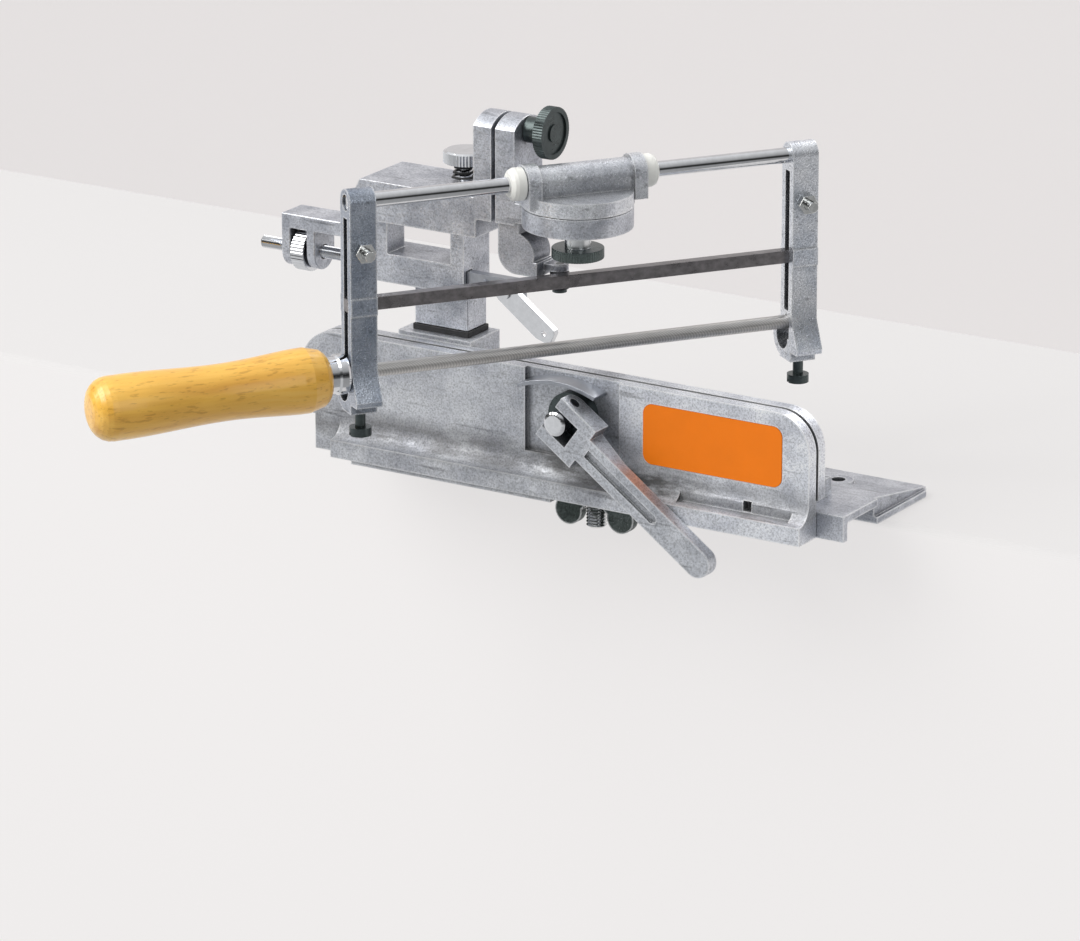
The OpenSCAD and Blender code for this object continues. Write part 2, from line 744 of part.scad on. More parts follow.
module swivel_head() {
    place() color([0.73, 0.74, 0.76]) in_head() difference() {
        union() {
            rod_z(seam_z, high_disc_z, 0, 0, disc_r);
            translate([sleeve_shift, 0, 0]) {
                rod_u(-sleeve_u, sleeve_u, 0, rod_z, sleeve_r);
                box([-sleeve_u + 5, -sleeve_r, seam_z], [sleeve_u - 5, sleeve_r, rod_z]);
                for (u = [-sleeve_u, sleeve_u - collar_w]) {
                    rod_u(u, u + collar_w, 0, rod_z, collar_r);
                    box([u, -collar_r, seam_z + 1.6], [u + collar_w, collar_r, rod_z]);
                }
            }
        }
        translate([sleeve_shift, 0, 0]) {
            rod_u(-sleeve_u - 1, sleeve_u + 1, 0, rod_z, rod_d / 2 + 0.6);
            for (u = [-sleeve_u - 1, 12])
                rod_u(u, u + sleeve_u - 11, 0, rod_z, bush_r + fit);
        }
        rod_z(seam_z - 1, seam_z + 4.4, 0, 0, 3 + fit);
    }
}

module bush(side) {
    place() color([0.93, 0.92, 0.88]) in_head() translate([sleeve_shift, 0, rod_z])
        rotate([0, 0, side < 0 ? 180 : 0]) rotate([0, 90, 0]) rotate_extrude() polygon([[rod_d / 2 + fit, 12.5], [bush_r, 12.5],
            [bush_r, sleeve_u + gap], [6.3, sleeve_u + gap], [6.3, bush_out - 2.2],
            [5.8, bush_out - 0.9], [4.6, bush_out], [rod_d / 2 + fit, bush_out]]);
}

module bush_near() {
    bush(-1);
}

module bush_far() {
    bush(1);
}

module guide_rod() {
    end = frame_end - 0.8;
    place() color([0.8, 0.8, 0.82]) in_frame() rod_u(-end, end, 0, rod_z, rod_d / 2);
}

module guide_bar() {
    place() color([0.33, 0.31, 0.31]) in_frame()
        box([-frame_end, -bar_t / 2, bar_z - bar_h / 2], [frame_end, bar_t / 2, bar_z + bar_h / 2]);
}

// strap seen along the file: a loop round the rod, two legs, and an eye with a clamp lip
module strap_outline() {
    difference() {
        union() {
            translate([0, rod_z]) circle(r = rod_d / 2 + strap_t - 1.1);
            translate([-strap_out, eye_z]) square([2 * strap_out, rod_z - eye_z]);
            translate([-strap_out - 0.6, bar_z - bar_h / 2 - 0.9])
                square([2 * strap_out + 1.2, bar_h + 1.8]);
            translate([eye_n, eye_z]) circle(r = eye_r + strap_t - 0.2);
            polygon([[-strap_out, file_z + 1.5], [-10.6, file_z - 9.2], [-10.2, file_z - 11.2],
                [0, file_z - 11.6], [0, file_z + 1.5]]);
            translate([-4.2, file_z - 15.2]) square([9.6, 5]);
        }
        translate([0, rod_z]) circle(r = rod_d / 2);
        translate([-strap_in, file_z + 4.6]) square([2 * strap_in, rod_z - rod_d / 2 - 7.6 - file_z]);
        translate([-bar_t / 2, bar_z - bar_h / 2]) square([bar_t, bar_h]);
        translate([0, file_z]) circle(r = file_d / 2);
        polygon([[-1.7, file_z], [0, file_z + 3.8], [1.7, file_z]]);
        translate([eye_n, eye_z]) circle(r = eye_r);
        translate([-file_d / 2, eye_z]) square([file_d, file_z - eye_z]);
    }
}

module strap(u) {
    place() color([0.62, 0.66, 0.72]) in_frame() difference() {
        translate([u - strap_w / 2, 0, 0]) rotate([90, 0, 90]) linear_extrude(height = strap_w)
            strap_outline();
        rod_z(file_z - 18, eye_z, u, 0, clamp_r + fit);
        rod_y(-20, 20, u, bolt_z, 2);
    }
}
module strap_near() {
    strap(-strap_u);
}

module strap_far() {
    strap(strap_u);
}

module bolt(u) {
    place() color([0.7, 0.71, 0.72]) in_frame() {
        rod_y(-strap_out - 7.4, strap_out, u, bolt_z, 2);
        translate([u, strap_out, bolt_z]) rotate([-90, 0, 0]) cylinder(h = 2.8, r = 4.04, $fn = 6);
    }
}

module bolt_near() {
    bolt(-strap_u);
}

module bolt_far() {
    bolt(strap_u);
}

module nut(u) {
    place() color([0.45, 0.48, 0.46]) in_frame() difference() {
        translate([u, -strap_out, bolt_z]) rotate([90, 0, 0]) cylinder(h = 3.2, r = 4.04, $fn = 6);
        rod_y(-strap_out - 5, -strap_out + 1, u, bolt_z, 2);
    }
}

module nut_near() {
    nut(-strap_u);
}

module nut_far() {
    nut(strap_u);
}

module clamp_screw(u) {
    top = file_z - file_d / 2 - gap;
    head = file_z - 24.4;
    place() color([0.3, 0.33, 0.32]) in_frame() difference() {
        union() {
            rod_z(head + 3, top, u, 0, clamp_r);
            rod_z(head, head + 3.2, u, 0, 4.2);
        }
        box([u - 5, -0.6, head - 1], [u + 5, 0.6, head + 1.4]);
    }
}

module clamp_screw_near() {
    clamp_screw(-strap_u);
}

module clamp_screw_far() {
    clamp_screw(strap_u);
}

module round_file() {
    start = handle_start - 6;
    place() color([0.55, 0.54, 0.52]) in_frame() {
        rod_u(start, frame_end + 0.6, 0, file_z, file_d / 2);
        translate([start, 0, file_z]) rotate([0, -90, 0])
            cylinder(h = 42, r1 = file_d / 2, r2 = 1);
    }
}

module ferrule() {
    place() color([0.8, 0.8, 0.82]) in_frame() translate([handle_start, 0, file_z]) rotate([0, 90, 0])
        rotate_extrude() polygon([[file_d / 2, 0.8], [file_d / 2, 7.3], [6.6, 7.3], [7.4, 6.8],
            [7.7, 6], [7.7, 3.4], [ferrule_out, 2.6], [ferrule_out, -5], [ferrule_in, -5], [ferrule_in, 0.8]]);
}

// radius of the handle at a share t of its length, from the file end
function handle_r(t) = handle_d / 2 * (1 - 0.047 * t - 0.135 * pow(sin(180 * pow(t, 0.9)), 2));

module handle() {
    n = 20;
    round_end = 8;
    tang = file_d / 2;
    body = concat([[0, 0.4], [8.3, 0.5], [9.7, 1.5], [10.8, 3]],
        [for (i = [1 : n - 1]) let (t = i / n)
            [handle_r(t) * (1 - 0.06 * exp(-t * 18)), round_end * 0.6 + t * (handle_len - 2 * round_end)]],
        [for (a = [0 : 15 : 90]) [(handle_r(1) - round_end) + round_end * cos(a),
            handle_len - round_end + round_end * sin(a)]], [[0, handle_len]]);
    place() color([0.85, 0.6, 0.25]) in_frame() translate([handle_start, 0, file_z]) difference() {
        union() {
            // plug inside the ferrule
            rotate([0, -90, 0]) rotate_extrude()
                polygon([[0, -0.8], [ferrule_in, -0.8], [ferrule_in, 9], [0, 9]]);
            // grip, which hangs a little from the line of the file
            translate([0, 0, -handle_drop]) rotate([0, -handle_tilt, 0]) rotate([0, -90, 0])
                rotate_extrude() polygon(body);
        }
        // seats of the ferrule's tube and of the file's tang
        rotate([0, -90, 0]) rotate_extrude()
            polygon([[ferrule_in, -6], [ferrule_out, -6], [ferrule_out, 5], [ferrule_in, 5]]);
        rotate([0, -90, 0]) rotate_extrude()
            polygon([[0, -2], [tang, -2], [tang, 6], [1, 48], [0, 50]]);
    }
}

rail();
bench_plate();
stud();
wing_nut();
plunger();
clamp_jaw();
cross_pin();
clamp_lever();
thrust_collar();
leaf_spring();
label_plate();
seat_plate();
column();
yoke();
stop_fork();
stop_screw();
stop_wheel();
stop_slide();
pawl();
pawl_pin();
arm();
hinge_pin();
height_stem();
height_knob();
height_spring();
tilt_bracket();
tilt_knob();
swivel_knob();
guide_roller();
roller_pin();
swivel_head();
bush_near();
bush_far();
guide_rod();
guide_bar();
strap_near();
strap_far();
bolt_near();
bolt_far();
nut_near();
nut_far();
clamp_screw_near();
clamp_screw_far();
round_file();
ferrule();
handle();
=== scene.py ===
import json
import math

import bpy
from mathutils import Matrix, Vector


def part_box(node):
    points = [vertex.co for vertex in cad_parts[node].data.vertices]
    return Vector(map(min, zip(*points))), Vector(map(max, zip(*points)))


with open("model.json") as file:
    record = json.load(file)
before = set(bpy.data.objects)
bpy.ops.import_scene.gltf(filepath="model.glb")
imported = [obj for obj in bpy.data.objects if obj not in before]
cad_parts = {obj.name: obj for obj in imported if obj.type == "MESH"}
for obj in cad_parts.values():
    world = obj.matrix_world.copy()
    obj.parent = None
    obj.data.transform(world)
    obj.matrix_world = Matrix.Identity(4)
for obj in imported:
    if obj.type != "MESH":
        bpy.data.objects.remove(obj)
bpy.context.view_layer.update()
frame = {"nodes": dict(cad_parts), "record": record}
nodes = frame["nodes"]
scene = bpy.context.scene

# The file, the rod and the bar lie at this angle to the rail, seen from above
FILE_TURN = math.radians(54)
ALONG_FILE = (0, 0, -FILE_TURN)
NO_TURN = (0, 0, 0)
EVEN = (1, 1, 1)

# Reach of the painted shade into a hollow, width of an edge lightened as rubbed wear and painted highlight,
# and depths of surface grain, in metres
PAINTED_SHADE_REACH = 0.013
EDGE_WEAR_AND_HIGHLIGHT_WIDTH = 0.0013
CAST_GRAIN = 0.00015
FINE_GRAIN = 0.0001
# Places of the colour sockets in a Mix node
MIX_A = 6
MIX_B = 7
MIX_RESULT = 2


def fill_ramp(ramp, stops):
    """Sets a colour ramp's stops, each a position and a colour."""
    while len(ramp.elements) < len(stops):
        ramp.elements.new(0.5)
    for element, (position, color) in zip(ramp.elements, stops):
        element.position = position
        element.color = (*color, 1)


# Materials

class Shader:
    """A material's node tree, with short ways to add and join nodes."""

    def __init__(self, name):
        self.material = bpy.data.materials.new(name)
        self.material.use_nodes = True
        self.tree = self.material.node_tree
        self.bsdf = self.tree.nodes["Principled BSDF"]
        self.coord = self.tree.nodes.new("ShaderNodeTexCoord").outputs["Object"]

    def add(self, kind, **values):
        node = self.tree.nodes.new(kind)
        for key, value in values.items():
            if hasattr(node, key):
                setattr(node, key, value)
            else:
                node.inputs[key].default_value = value
        return node

    def join(self, out, into):
        self.tree.links.new(out, into)

    def feed(self, socket, value):
        """Joins an output to a socket, or sets the socket to a colour or a number."""
        if hasattr(value, "is_output"):
            self.join(value, socket)
        elif isinstance(value, (tuple, list)):
            socket.default_value = (*value, 1)
        else:
            socket.default_value = value

    def axes(self, vector):
        node = self.add("ShaderNodeSeparateXYZ")
        self.join(vector, node.inputs[0])
        return node.outputs

    def normal(self):
        return self.add("ShaderNodeNewGeometry").outputs["Normal"]

    def stretch(self, scale, turn=NO_TURN, vector=None):
        node = self.add("ShaderNodeMapping")
        node.inputs["Scale"].default_value = scale
        node.inputs["Rotation"].default_value = turn
        self.join(vector or self.coord, node.inputs["Vector"])
        return node.outputs["Vector"]

    def noise(self, scale, detail=3.0, rough=0.55, vector=None):
        node = self.add("ShaderNodeTexNoise", Scale=scale, Detail=detail, Roughness=rough)
        self.join(vector or self.coord, node.inputs["Vector"])
        return node.outputs["Fac"]

    def ramp(self, amount, stops):
        node = self.add("ShaderNodeValToRGB")
        colors = [value if isinstance(value, (tuple, list)) else (value,) * 3 for _, value in stops]
        fill_ramp(node.color_ramp, [(position, color) for (position, _), color in zip(stops, colors)])
        self.join(amount, node.inputs["Fac"])
        return node.outputs["Color"]

    def mix(self, amount, a, b, blend="MIX"):
        node = self.add("ShaderNodeMix", data_type="RGBA", blend_type=blend)
        for place, value in ((0, amount), (MIX_A, a), (MIX_B, b)):
            self.feed(node.inputs[place], value)
        return node.outputs[MIX_RESULT]

    def math(self, operation, a, b):
        node = self.add("ShaderNodeMath", operation=operation)
        for socket, value in zip(node.inputs, (a, b)):
            self.feed(socket, value)
        return node.outputs[0]

    def share(self, value, low, high):
        """0 at the low value and 1 at the high one."""
        return self.math("DIVIDE", self.math("SUBTRACT", value, low), high - low)

    def bump(self, height, strength, distance=FINE_GRAIN):
        node = self.add("ShaderNodeBump", Strength=strength, Distance=distance)
        self.join(height, node.inputs["Height"])
        self.join(node.outputs["Normal"], self.bsdf.inputs["Normal"])

    def worn_and_highlit_edges(self, uneven):
        """1 on edges and 0 on flat faces, a little uneven: the mask for rubbed wear and painted highlight on
        edges.
        """
        edge = self.add("ShaderNodeBevel", samples=4, Radius=EDGE_WEAR_AND_HIGHLIGHT_WIDTH)
        dot = self.add("ShaderNodeVectorMath", operation="DOT_PRODUCT")
        self.join(edge.outputs["Normal"], dot.inputs[0])
        self.join(self.normal(), dot.inputs[1])
        flat = self.math("ADD", dot.outputs["Value"], self.math("MULTIPLY", uneven, 0.06))
        return self.ramp(flat, [(0.84, 1.0), (0.99, 0.0)])

    def put(self, name, value):
        self.feed(self.bsdf.inputs[name], value)


def rail_tone_and_foot_band(s, base, tone):
    """The rail is brighter at its right end, and a mottled dark band, rougher and less metallic, lies in the
    hollow above its foot, strongest over one stretch of its length.
    """
    low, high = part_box("rail")
    place = s.axes(s.coord)
    along = s.share(place["X"], low.x, high.x)
    height = s.share(place["Z"], 0.0, high.z)
    base = s.mix(1.0, base, s.ramp(along, [(0.611, 0.96), (0.639, 1.28)]), "MULTIPLY")
    band = s.ramp(height, [(0.10, 0.25), (0.17, 1.0), (0.30, 1.0), (0.42, 0.1)])
    patch = s.noise(95.0, 5.0, 0.65, s.stretch((0.5, 1.0, 1.6)))
    dark_band = s.math("MULTIPLY", band, s.ramp(patch, [(0.32, 0.3), (0.56, 1.0)]))
    by_lever = s.ramp(along, [(0.444, 0.65), (0.544, 1.0), (0.722, 1.0), (0.833, 0.5)])
    dark_band = s.math("MULTIPLY", dark_band, by_lever)
    base = s.mix(s.math("MULTIPLY", dark_band, 0.92), base, (0.07, 0.069, 0.066))
    tone = s.mix(dark_band, tone, (0.8, 0.8, 0.8))
    metal = s.ramp(dark_band, [(0.1, 0.8), (0.6, 0.35)])
    return base, tone, metal


def cast_metal(name, light, dark, rough, speck, foot_band=False):
    """Sand-cast metal: cloudy grey with specks and scratches, painted shade in hollows, and edges lightened
    as rubbed wear and painted highlight.
    """
    s = Shader(name)
    cloud = s.noise(60.0, 5.0, 0.65)
    grain = s.noise(2500.0, 2.0, 0.6)
    fleck = s.noise(1350.0, 2.0, 0.6)
    scratch = s.noise(300.0, 2.0, 0.5, s.stretch((0.12, 1.0, 1.4), (0.2, 0.3, 0.4)))
    base = s.ramp(cloud, [(0.36, dark), (0.63, light)])
    base = s.mix(0.75, base, s.ramp(fleck, [(0.35, 0.64), (0.5, 1.0), (0.67, 1.2)]), "MULTIPLY")
    base = s.mix(speck, base, s.ramp(grain, [(0.34, 0.45), (0.5, 1.0)]), "MULTIPLY")
    base = s.mix(0.6, base, s.ramp(scratch, [(0.28, 0.4), (0.38, 1.0)]), "MULTIPLY")
    base = s.mix(s.ramp(grain, [(0.64, 0.0), (0.72, 0.5)]), base, (0.9, 0.91, 0.93))
    # Hollows are darkened by ambient occlusion: painted shade
    hollow = s.add("ShaderNodeAmbientOcclusion", samples=8, only_local=True, Distance=PAINTED_SHADE_REACH)
    base = s.mix(0.9, base, s.ramp(hollow.outputs["AO"], [(0.35, 0.22), (0.95, 1.0)]), "MULTIPLY")
    wear_and_highlight = s.worn_and_highlit_edges(cloud)
    # Edges are mixed towards a pale grey: partly rubbed wear, partly painted highlight
    base = s.mix(s.math("MULTIPLY", wear_and_highlight, 0.9), base, (0.93, 0.94, 0.95))
    tone = s.ramp(fleck, [(0.3, rough + 0.09), (0.7, rough - 0.09)])
    metal = 0.8
    if foot_band:
        base, tone, metal = rail_tone_and_foot_band(s, base, tone)
    s.put("Base Color", base)
    s.put("Roughness", tone)
    s.put("Metallic", metal)
    s.bump(s.math("ADD", grain, s.math("MULTIPLY", fleck, 1.5)), 0.32, CAST_GRAIN)
    return s.material


def blackened(name, color, neck_from):
    """Blackened steel, with a bare steel neck above one height."""
    s = Shader(name)
    soft = s.noise(120.0, 4.0)
    fine = s.noise(1500.0, 2.0, 0.6)
    low = tuple(c * 0.6 for c in color)
    dark = s.ramp(soft, [(0.3, low), (0.7, color)])
    dark = s.mix(0.5, dark, s.ramp(fine, [(0.35, 0.6), (0.6, 1.3)]), "MULTIPLY")
    neck = s.math("GREATER_THAN", s.axes(s.coord)["Z"], neck_from)
    s.put("Base Color", s.mix(neck, dark, (0.72, 0.74, 0.75)))
    s.put("Metallic", s.math("ADD", 0.7, s.math("MULTIPLY", neck, 0.3)))
    s.put("Roughness", s.ramp(soft, [(0.3, 0.22), (0.7, 0.34)]))
    s.bump(fine, 0.08)
    return s.material


def worked_metal(name, color, rough, metal, contrast, grain=EVEN, turn=NO_TURN, bump=0.06):
    """Turned, rolled or plated metal: fine streaks along one direction and faint smudges."""
    s = Shader(name)
    streak = s.noise(420.0, 3.0, 0.6, s.stretch(grain, turn))
    smudge = s.noise(70.0, 3.0)
    low = tuple(c * (1 - contrast) for c in color)
    base = s.ramp(streak, [(0.3, low), (0.7, color)])
    base = s.mix(0.5, base, s.ramp(smudge, [(0.3, 0.86), (0.6, 1.0)]), "MULTIPLY")
    both = s.math("ADD", s.math("MULTIPLY", smudge, 0.6), s.math("MULTIPLY", streak, 0.4))
    s.put("Base Color", base)
    s.put("Metallic", metal)
    s.put("Roughness", s.ramp(both, [(0.3, rough * 0.75), (0.7, rough * 1.35)]))
    s.bump(streak, bump)
    return s.material


def cut_file(name):
    """File steel: fine cuts that slant round the blade."""
    s = Shader(name)
    wave = s.add("ShaderNodeTexWave", wave_type="BANDS", bands_direction="DIAGONAL",
                 Scale=540.0, Distortion=0.8)
    s.join(s.stretch((1, 1, 0.55), ALONG_FILE), wave.inputs["Vector"])
    cuts = wave.outputs["Fac"]
    soft = s.noise(60.0, 3.0)
    base = s.ramp(cuts, [(0.2, (0.43, 0.42, 0.41)), (0.8, (0.58, 0.57, 0.555))])
    base = s.mix(0.5, base, s.ramp(soft, [(0.3, 0.75), (0.65, 1.05)]), "MULTIPLY")
    s.put("Base Color", base)
    s.put("Metallic", 0.85)
    s.put("Roughness", s.ramp(soft, [(0.3, 0.3), (0.7, 0.42)]))
    s.bump(cuts, 0.12)
    return s.material


def plain_skin(name, color, rough, vary, shine=0.5):
    """Paint, plastic or rubber: small changes of tone, fine orange-peel surface."""
    s = Shader(name)
    soft = s.noise(90.0, 3.0)
    fine = s.noise(600.0, 2.0)
    low = tuple(c * (1 - vary) for c in color)
    s.put("Base Color", s.ramp(soft, [(0.3, low), (0.7, color)]))
    s.put("Roughness", s.ramp(fine, [(0.3, rough * 0.85), (0.7, rough * 1.15)]))
    s.put("Specular IOR Level", shine)
    s.bump(fine, 0.08)
    return s.material


def beech_wood(name):
    """Varnished beech: long soft grain along the handle with short dark flecks."""
    s = Shader(name)
    along = s.stretch(EVEN, ALONG_FILE)
    bands = s.noise(150.0, 4.0, 0.6, s.stretch((0.08, 1.0, 1.0), vector=along))
    pores = s.noise(900.0, 2.0, 0.6, s.stretch((0.22, 1.0, 1.0), vector=along))
    cloud = s.noise(22.0, 2.0)
    base = s.ramp(bands, [(0.28, (0.76, 0.38, 0.045)), (0.52, (0.94, 0.55, 0.095)),
                          (0.75, (0.98, 0.64, 0.16))])
    shade = s.ramp(cloud, [(0.3, (0.86, 0.80, 0.70)), (0.7, (1.06, 1.05, 1.0))])
    base = s.mix(0.8, base, shade, "MULTIPLY")
    fleck = s.ramp(pores, [(0.33, (0.62, 0.5, 0.36)), (0.43, (1.0, 1.0, 1.0))])
    base = s.mix(0.55, base, fleck, "MULTIPLY")
    s.put("Base Color", base)
    s.put("Roughness", s.ramp(bands, [(0.3, 0.34), (0.7, 0.26)]))
    s.put("Coat Weight", 0.35)
    s.put("Coat Roughness", 0.12)
    s.bump(pores, 0.05)
    return s.material


# The swivel knob is black from its lower end up to this height, and its neck above that is bare
KNOB_WHEEL = 0.0041
MATERIALS = {
    "cast_metal": cast_metal("cast_metal", (0.65, 0.67, 0.72), (0.37, 0.39, 0.44), rough=0.36, speck=0.36),
    "lever_metal": cast_metal("lever_metal", (0.66, 0.68, 0.72), (0.46, 0.48, 0.52), rough=0.42, speck=0.25),
    "strap_metal": cast_metal("strap_metal", (0.48, 0.52, 0.59), (0.28, 0.32, 0.39), rough=0.3, speck=0.3),
    "bright_steel": worked_metal("bright_steel", (0.74, 0.75, 0.77), rough=0.05, metal=1.0, contrast=0.1,
                                 turn=ALONG_FILE, bump=0.02),
    "dark_steel": worked_metal("dark_steel", (0.085, 0.105, 0.105), rough=0.3, metal=0.75, contrast=0.35),
    "spring_steel": worked_metal("spring_steel", (0.42, 0.44, 0.48), rough=0.3, metal=0.9, contrast=0.2,
                                 grain=(1, 30, 1)),
    "bar_steel": worked_metal("bar_steel", (0.27, 0.255, 0.26), rough=0.3, metal=0.85, contrast=0.4,
                              grain=(0.05, 1, 1), turn=ALONG_FILE),
    "black_wire": worked_metal("black_wire", (0.05, 0.05, 0.05), rough=0.35, metal=0.6, contrast=0.3),
    "file_steel": cut_file("file_steel"),
    "black_rubber": plain_skin("black_rubber", (0.02, 0.02, 0.022), rough=0.6, vary=0.3),
    "black_plastic": plain_skin("black_plastic", (0.022, 0.022, 0.025), rough=0.35, vary=0.3),
    "white_nylon": plain_skin("white_nylon", (0.86, 0.86, 0.82), rough=0.38, vary=0.06),
    "orange_paint": plain_skin("orange_paint", (0.94, 0.215, 0.005), rough=0.5, vary=0.05, shine=0.25),
    "beech": beech_wood("beech"),
}
# Pieces whose colour differs from that of their slot: most by their own finish, while the far strap and the
# swivel head are lighter copies of their metal, which is painted light
plated = worked_metal("plated_steel", (0.78, 0.79, 0.78), rough=0.12, metal=1.0, contrast=0.25)
BY_NODE = {name: plated for name in ("bolt_near", "bolt_far", "nut_near", "nut_far", "stud")}
BY_NODE["rail"] = cast_metal("rail_metal", (0.76, 0.78, 0.82), (0.52, 0.54, 0.59),
                             rough=0.42, speck=0.36, foot_band=True)
# The far strap is the same metal as the near one, made lighter all over: painted light
BY_NODE["strap_far"] = cast_metal("painted_lit_strap_metal", (0.84, 0.86, 0.90), (0.56, 0.60, 0.67),
                                  rough=0.3, speck=0.3)
# The swivel head is the same cast metal, made lighter all over: painted highlight
BY_NODE["swivel_head"] = cast_metal("painted_highlight_head_metal", (0.86, 0.88, 0.91), (0.58, 0.60, 0.65),
                                    rough=0.32, speck=0.3)
BY_NODE["swivel_knob"] = blackened("swivel_knob_steel", (0.13, 0.16, 0.155),
                                   neck_from=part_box("swivel_knob")[0].z + KNOB_WHEEL)
BY_NODE["wing_nut"] = cast_metal("dark_cast", (0.11, 0.13, 0.125), (0.055, 0.07, 0.065),
                                 rough=0.45, speck=0.5)
slot_of = {sub["node"]: sub["material_slot"] for sub in frame["record"]["subparts"]}

# Rounded edges in millimetres: cast pieces are softer than machined ones
EDGE_MM = {
    "rail": 0.9, "bench_plate": 0.5, "column": 0.5, "yoke": 0.8, "stop_fork": 0.8, "arm": 1.0,
    "tilt_bracket": 0.8, "clamp_lever": 0.4, "pawl": 0.35, "stop_slide": 0.3, "strap_near": 0.35,
    "strap_far": 0.35, "leaf_spring": 0.25, "swivel_knob": 0.4, "height_knob": 0.25, "stop_wheel": 0.25,
    "guide_bar": 0.3, "wing_nut": 0.7, "seat_plate": 0.3, "nut_near": 0.25, "nut_far": 0.25,
    "bolt_near": 0.2, "bolt_far": 0.2, "plunger": 0.3, "clamp_screw_near": 0.3, "clamp_screw_far": 0.3,
    "guide_rod": 0.3, "guide_roller": 0.4,
}
MILLIMETRE = 0.001
EDGE_STEPS = 3
# Corners closer than this are one corner, faces this flat are one face, edges this sharp are rounded
WELD_GAP = 0.00001
FLAT_ANGLE = math.radians(0.5)
SHARP_ANGLE = math.radians(35)


def join_corners(obj):
    weld = obj.modifiers.new("joined_corners", "WELD")
    weld.merge_threshold = WELD_GAP


def join_flat_faces(obj):
    flat = obj.modifiers.new("flat_faces", "DECIMATE")
    flat.decimate_type = "DISSOLVE"
    flat.angle_limit = FLAT_ANGLE


def round_edges(obj, width):
    bevel = obj.modifiers.new("rounded_edges", "BEVEL")
    bevel.width = width
    bevel.segments = EDGE_STEPS
    bevel.limit_method = "ANGLE"
    bevel.angle_limit = SHARP_ANGLE
    bevel.harden_normals = False
    bevel.use_clamp_overlap = True


for name, obj in nodes.items():
    obj.data.materials.clear()
    obj.data.materials.append(BY_NODE.get(name) or MATERIALS[slot_of[name]])
    if name in EDGE_MM:
        join_corners(obj)
    join_flat_faces(obj)
    if name in EDGE_MM:
        round_edges(obj, EDGE_MM[name] * MILLIMETRE)
    for poly in obj.data.polygons:
        poly.use_smooth = True
    smooth = obj.modifiers.new("even_normals", "WEIGHTED_NORMAL")
    smooth.keep_sharp = True


# Stage: a pale bench just under the plate, with its front edge behind the wing nut, and a pale grey wall
PLATE_GAP = 0.0002
NUT_CLEAR = 0.0125
BENCH_DEPTH = 0.2335
BENCH_HALF = 3.0
BENCH_DROP = 2.5
BENCH_EDGE = 0.003
BENCH_EDGE_STEPS = 6
WALL_Y = 3.4
WALL_THICK = 0.02
WALL_HALF = 9.0
WALL_HIGH = 5.0
# How much of its own tone the paper loses where it faces up, because the lamps light it more there
UPWARD_LOSS = 0.17


def block(name, low, high, material, round_edge=0.0):
    corners = [(x, y, z) for x in (low[0], high[0]) for y in (low[1], high[1]) for z in (low[2], high[2])]
    faces = [(0, 1, 3, 2), (4, 6, 7, 5), (0, 4, 5, 1), (2, 3, 7, 6), (0, 2, 6, 4), (1, 5, 7, 3)]
    mesh = bpy.data.meshes.new(name)
    mesh.from_pydata(corners, [], faces)
    obj = bpy.data.objects.new(name, mesh)
    scene.collection.objects.link(obj)
    mesh.materials.append(material)
    if round_edge:
        bevel = obj.modifiers.new("rounded", "BEVEL")
        bevel.width = round_edge
        bevel.segments = BENCH_EDGE_STEPS
    for poly in mesh.polygons:
        poly.use_smooth = False


def paper(name, color, glow, share):
    """Backdrop paper: part of its tone is its own, and the rest shows the light and the shadows."""
    s = Shader(name)
    soft = s.noise(5.0, 2.0)
    s.put("Base Color", s.ramp(soft, [(0.3, tuple(c * 0.98 for c in color)), (0.7, color)]))
    s.put("Roughness", 0.85)
    s.put("Specular IOR Level", 0.1)
    own = s.add("ShaderNodeEmission")
    own.inputs["Color"].default_value = (*glow, 1)
    upward = s.axes(s.normal())["Z"]
    s.join(s.math("SUBTRACT", 1.0, s.math("MULTIPLY", upward, UPWARD_LOSS)), own.inputs["Strength"])
    path = s.add("ShaderNodeLightPath").outputs
    mirrored = s.math("MAXIMUM", path["Is Glossy Ray"], path["Is Transmission Ray"])
    seen = s.math("MAXIMUM", path["Is Camera Ray"], mirrored)
    both = s.add("ShaderNodeMixShader")
    s.join(s.math("MULTIPLY", seen, share), both.inputs[0])
    s.join(s.bsdf.outputs[0], both.inputs[1])
    s.join(own.outputs[0], both.inputs[2])
    s.join(both.outputs[0], s.tree.nodes["Material Output"].inputs["Surface"])
    return s.material


bench_paper = paper("pale_bench", (0.74, 0.735, 0.73), (0.965, 0.94, 0.935), 0.7)
wall_paper = paper("grey_wall", (0.84, 0.82, 0.815), (0.90, 0.865, 0.86), 0.72)
bench_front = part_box("wing_nut")[1].y + NUT_CLEAR
bench_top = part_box("bench_plate")[0].z - PLATE_GAP
block("bench", (-BENCH_HALF, bench_front, -BENCH_DROP), (BENCH_HALF, bench_front + BENCH_DEPTH, bench_top),
      bench_paper, BENCH_EDGE)
block("wall", (-WALL_HALF, WALL_Y, -WALL_HIGH), (WALL_HALF, WALL_Y + WALL_THICK, WALL_HIGH), wall_paper)


# Light

# Brightness of the room from straight down (0) to straight up (1), dark just above the horizon
ROOM = [(0.0, 0.60), (0.40, 0.70), (0.46, 0.20), (0.56, 0.03), (0.64, 0.14), (0.74, 0.72), (1.0, 1.05)]
ROOM_TINT = (1.0, 1.005, 1.015)
# The room's left is brighter than its right
SIDE_SLOPE = -0.42
SIDE_MIDDLE = 0.92


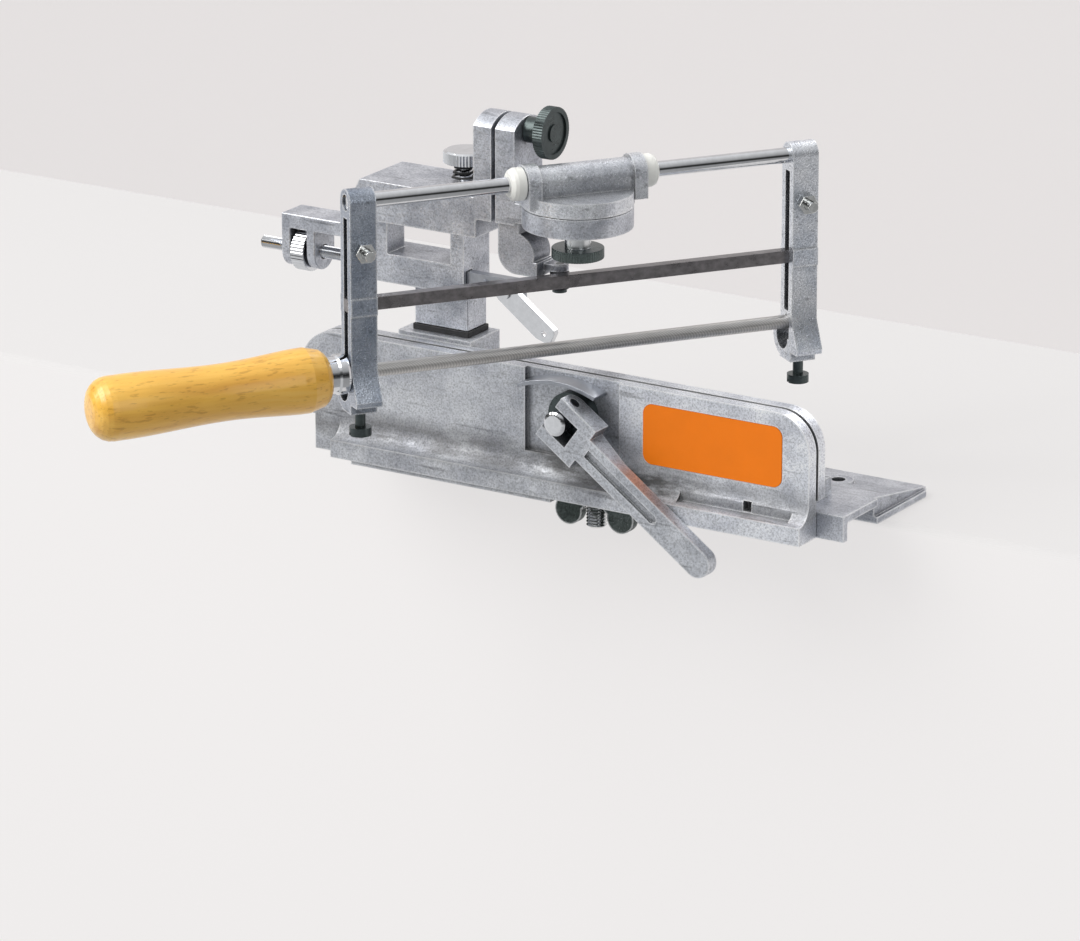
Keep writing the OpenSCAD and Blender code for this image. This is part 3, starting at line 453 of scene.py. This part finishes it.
def studio_world():
    world = bpy.data.worlds.new("studio")
    world.use_nodes = True
    tree = world.node_tree
    links = tree.links

    def scaled(socket, factor, offset):
        node = tree.nodes.new("ShaderNodeMath")
        node.operation = "MULTIPLY_ADD"
        node.inputs[1].default_value = factor
        node.inputs[2].default_value = offset
        links.new(socket, node.inputs[0])
        return node.outputs[0]

    split = tree.nodes.new("ShaderNodeSeparateXYZ")
    links.new(tree.nodes.new("ShaderNodeTexCoord").outputs["Generated"], split.inputs[0])
    dome = tree.nodes.new("ShaderNodeValToRGB")
    fill_ramp(dome.color_ramp, [(place, tuple(value * c for c in ROOM_TINT)) for place, value in ROOM])
    links.new(scaled(split.outputs["Z"], 0.5, 0.5), dome.inputs["Fac"])
    shade = tree.nodes.new("ShaderNodeMix")
    shade.data_type = "RGBA"
    shade.blend_type = "MULTIPLY"
    shade.inputs[0].default_value = 1.0
    links.new(dome.outputs["Color"], shade.inputs[MIX_A])
    links.new(scaled(split.outputs["X"], SIDE_SLOPE, SIDE_MIDDLE), shade.inputs[MIX_B])
    back = tree.nodes["Background"]
    links.new(shade.outputs[MIX_RESULT], back.inputs["Color"])
    back.inputs["Strength"].default_value = 1.0
    return world


def lamp(name, place, aim, size, watts, color=(1, 1, 1)):
    data = bpy.data.lights.new(name, "AREA")
    data.shape = "RECTANGLE"
    data.size, data.size_y = size
    data.energy = watts
    data.color = color
    obj = bpy.data.objects.new(name, data)
    scene.collection.objects.link(obj)
    obj.location = place
    obj.rotation_euler = (Vector(aim) - Vector(place)).to_track_quat("-Z", "Y").to_euler()


# Middle of the object, and a point higher up at its back
MIDDLE = (0, -0.05, 0.06)
UPPER_BACK = (0, 0.0, 0.08)
scene.view_settings.view_transform = "Standard"
scene.world = studio_world()
lamp("key", (-1.0, -1.1, 1.35), MIDDLE, size=(1.5, 1.5), watts=33.0, color=(1.0, 0.985, 0.965))
lamp("fill", (1.5, -1.0, 0.7), MIDDLE, size=(0.7, 1.2), watts=4.0, color=(0.97, 0.985, 1.0))
lamp("rim", (0.3, 1.1, 1.1), UPPER_BACK, size=(1.0, 0.5), watts=5.0)

# Camera: the photograph's own view, which shows ANCHOR at PIXEL. FOCAL is in pixels
AZIMUTH = math.radians(31.77)
ELEVATION = math.radians(17.9)
DISTANCE = 2.3416
FOCAL = 6284.0
WIDTH = 1080
HEIGHT = 941
SENSOR = 36.0
ANCHOR = Vector((0.0532, -0.0492, 0.0510))
PIXEL = (675.1, 383.7)
right = Vector((math.cos(AZIMUTH), math.sin(AZIMUTH), 0))
ahead = Vector((-math.sin(AZIMUTH) * math.cos(ELEVATION),
                math.cos(AZIMUTH) * math.cos(ELEVATION),
                -math.sin(ELEVATION)))
up = right.cross(ahead)
aside = right * ((PIXEL[0] - WIDTH / 2) / FOCAL * DISTANCE)
above = up * ((PIXEL[1] - HEIGHT / 2) / FOCAL * DISTANCE)
eye = ANCHOR - ahead * DISTANCE - aside + above
lens = bpy.data.cameras.new("photo_view")
lens.sensor_fit = "HORIZONTAL"
lens.sensor_width = SENSOR
lens.lens = FOCAL / WIDTH * SENSOR
lens.clip_start = 0.1
lens.clip_end = 50.0
camera = bpy.data.objects.new("photo_view", lens)
scene.collection.objects.link(camera)
camera.matrix_world = Matrix((
    (right.x, up.x, -ahead.x, eye.x),
    (right.y, up.y, -ahead.y, eye.y),
    (right.z, up.z, -ahead.z, eye.z),
    (0, 0, 0, 1)))
scene.camera = camera
